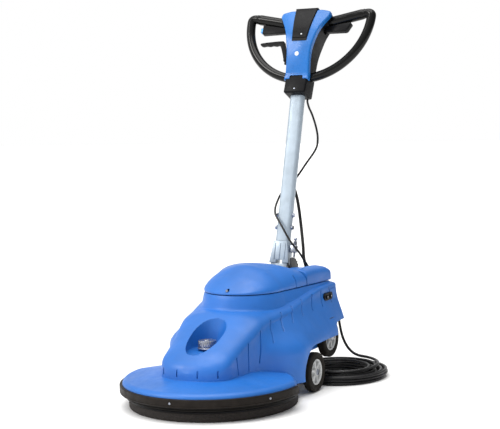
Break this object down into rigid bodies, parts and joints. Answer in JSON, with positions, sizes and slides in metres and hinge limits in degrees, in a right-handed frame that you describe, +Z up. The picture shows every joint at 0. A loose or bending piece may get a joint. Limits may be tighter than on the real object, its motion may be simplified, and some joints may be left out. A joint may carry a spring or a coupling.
{
  "type": "floor burnisher",
  "caption": "Corded floor burnisher: round polishing deck under a moulded hood, tilting column with a loop handle and levers, rolling wheels and a coiled mains lead.",
  "frame": {"origin": "centre of the machine's footprint on the floor, at the middle of its length and width", "axes": "+Z up, -Y towards the front of the deck, +X to the machine's left as its operator stands"},
  "size_m": [0.6505, 1.098, 1.2098],
  "materials": {
    "body_blue": "satin",
    "button_blue": "gloss",
    "black_plastic": "satin",
    "insert_plastic": "gloss",
    "handle_black": "gloss",
    "bumper_rubber": "matte",
    "cable_rubber": "satin",
    "belt_rubber": "matte",
    "pad_fibre": "fibrous",
    "tyre_rubber": "matte",
    "rim_grey": "satin",
    "zinc_steel": "satin",
    "frame_steel": "satin",
    "column_silver": "satin",
    "chrome_steel": "polished",
    "cast_aluminium": "satin",
    "motor_iron": "painted"
  },
  "bodies": {
    "machine": {"body_shell": "body_blue", "motor_cover": "body_blue", "rear_cover": "body_blue", "bumper_ring": "bumper_rubber", "bumper_screw_1": "zinc_steel", "bumper_screw_2": "zinc_steel", "dust_skirt": "bumper_rubber", "chassis_plate": "cast_aluminium", "bearing_housing": "cast_aluminium", "motor_body": "motor_iron", "drive_belt": "belt_rubber", "chassis_frame": "frame_steel", "main_axle_left": "zinc_steel", "main_axle_right": "zinc_steel", "hinge_pin": "chrome_steel", "transport_axle": "zinc_steel", "breaker_bezel": "black_plastic", "cord_gland": "cable_rubber", "mains_cord": "cable_rubber", "mains_coil": "cable_rubber", "mains_plug": "black_plastic"},
    "pad_rotor": {"polishing_pad": "pad_fibre", "pad_driver": "black_plastic", "pad_spindle": "zinc_steel", "spindle_pulley": "cast_aluminium"},
    "motor_rotor": {"motor_shaft": "zinc_steel", "motor_pulley": "cast_aluminium"},
    "adjuster": {"adjuster_knob": "chrome_steel"},
    "lift": {"lift_yoke": "zinc_steel"},
    "caster": {"caster_fork": "zinc_steel"},
    "caster_roller": {"caster_wheel": "tyre_rubber"},
    "main_wheel_left": {"main_left_tyre": "tyre_rubber", "main_left_rim": "rim_grey"},
    "main_wheel_right": {"main_right_tyre": "tyre_rubber", "main_right_rim": "rim_grey"},
    "transport_wheel_left": {"transport_left_tyre": "tyre_rubber", "transport_left_rim": "rim_grey"},
    "transport_wheel_right": {"transport_right_tyre": "tyre_rubber", "transport_right_rim": "rim_grey"},
    "handle": {"column_foot": "chrome_steel", "column_tube": "column_silver", "column_bolt_1": "chrome_steel", "column_bolt_2": "chrome_steel", "latch_guide": "chrome_steel", "handle_loop": "handle_black", "head_collar": "black_plastic", "head_housing": "black_plastic", "front_cover": "body_blue", "cover_insert": "insert_plastic", "control_cable": "cable_rubber", "motor_cable": "cable_rubber"},
    "left_trigger": {"trigger_left": "black_plastic"},
    "right_trigger": {"trigger_right": "black_plastic"},
    "start_button": {"safety_button": "button_blue"},
    "lever": {"release_lever": "black_plastic"},
    "plunger": {"lock_plunger": "chrome_steel"},
    "breaker_1": {"breaker_button_1": "black_plastic"},
    "breaker_2": {"breaker_button_2": "black_plastic"}
  },
  "joints": [
    {"name": "pad_spin", "type": "hinge", "parent": "machine", "child": "pad_rotor", "pos_m": [0, -0.2685, 0.05], "axis": [0, 0, 1], "continuous": true},
    {"name": "motor_spin", "type": "hinge", "parent": "machine", "child": "motor_rotor", "pos_m": [0, 0.0015, 0.086], "axis": [0, 0, 1], "continuous": true},
    {"name": "knob_turn", "type": "hinge", "parent": "machine", "child": "adjuster", "pos_m": [0, -0.2985, 0.18], "axis": [0, 0, 1], "range_deg": [-360, 360]},
    {"name": "caster_lift", "type": "slide", "parent": "machine", "child": "lift", "axis": [0, 0, 1], "range_m": [-0.0015, 0.0015]},
    {"name": "caster_swivel", "type": "hinge", "parent": "lift", "child": "caster", "pos_m": [0, -0.2685, 0.06], "axis": [0, 0, 1], "continuous": true},
    {"name": "caster_roll", "type": "hinge", "parent": "caster", "child": "caster_roller", "pos_m": [0, -0.2565, 0.0195], "axis": [1, 0, 0], "continuous": true},
    {"name": "main_left_roll", "type": "hinge", "parent": "machine", "child": "main_wheel_left", "pos_m": [0.225, -0.0325, 0.061], "axis": [1, 0, 0], "continuous": true},
    {"name": "main_right_roll", "type": "hinge", "parent": "machine", "child": "main_wheel_right", "pos_m": [-0.225, -0.0325, 0.061], "axis": [1, 0, 0], "continuous": true},
    {"name": "transport_left_roll", "type": "hinge", "parent": "machine", "child": "transport_wheel_left", "pos_m": [0.201, 0.1385, 0.136], "axis": [1, 0, 0], "continuous": true},
    {"name": "transport_right_roll", "type": "hinge", "parent": "machine", "child": "transport_wheel_right", "pos_m": [-0.201, 0.1385, 0.136], "axis": [1, 0, 0], "continuous": true},
    {"name": "handle_tilt", "type": "hinge", "parent": "machine", "child": "handle", "pos_m": [0, 0.2165, 0.335], "axis": [-1, 0, 0], "range_deg": [-17, 50], "deforming": ["control_cable", "motor_cable"]},
    {"name": "trigger_left_pull", "type": "hinge", "parent": "handle", "child": "left_trigger", "pos_m": [-0.072, 0.49431, 1.13394], "axis": [0, 0.9063, -0.4226], "range_deg": [0, 2.5], "stiffness_Nm_per_rad": 3},
    {"name": "trigger_right_pull", "type": "hinge", "parent": "handle", "child": "right_trigger", "pos_m": [0.072, 0.49431, 1.13394], "axis": [0, -0.9063, 0.4226], "range_deg": [0, 2.5], "stiffness_Nm_per_rad": 3},
    {"name": "start_button_press", "type": "slide", "parent": "left_trigger", "child": "start_button", "axis": [1, 0, 0], "range_m": [0, 0.0035], "stiffness_N_per_m": 300},
    {"name": "release_lever_pull", "type": "hinge", "parent": "handle", "child": "lever", "pos_m": [-0.066, 0.44676, 1.03198], "axis": [0, 0.9063, -0.4226], "range_deg": [0, 12], "stiffness_Nm_per_rad": 1.5},
    {"name": "plunger_lift", "type": "slide", "parent": "handle", "child": "plunger", "axis": [0, 0.2924, 0.9563], "range_m": [0, 0.008]},
    {"name": "breaker_1_press", "type": "slide", "parent": "machine", "child": "breaker_1", "axis": [-1, 0, 0], "range_m": [0, 0.003], "stiffness_N_per_m": 400},
    {"name": "breaker_2_press", "type": "slide", "parent": "machine", "child": "breaker_2", "axis": [-1, 0, 0], "range_m": [0, 0.003], "stiffness_N_per_m": 400}
  ],
  "couplings": [
    {"joint": "motor_spin", "follows": "pad_spin", "ratio": 1.9412},
    {"joint": "caster_lift", "follows": "knob_turn", "m_per_rad": -0.000238},
    {"joint": "plunger_lift", "follows": "release_lever_pull", "m_per_rad": 0.038}
  ]
}
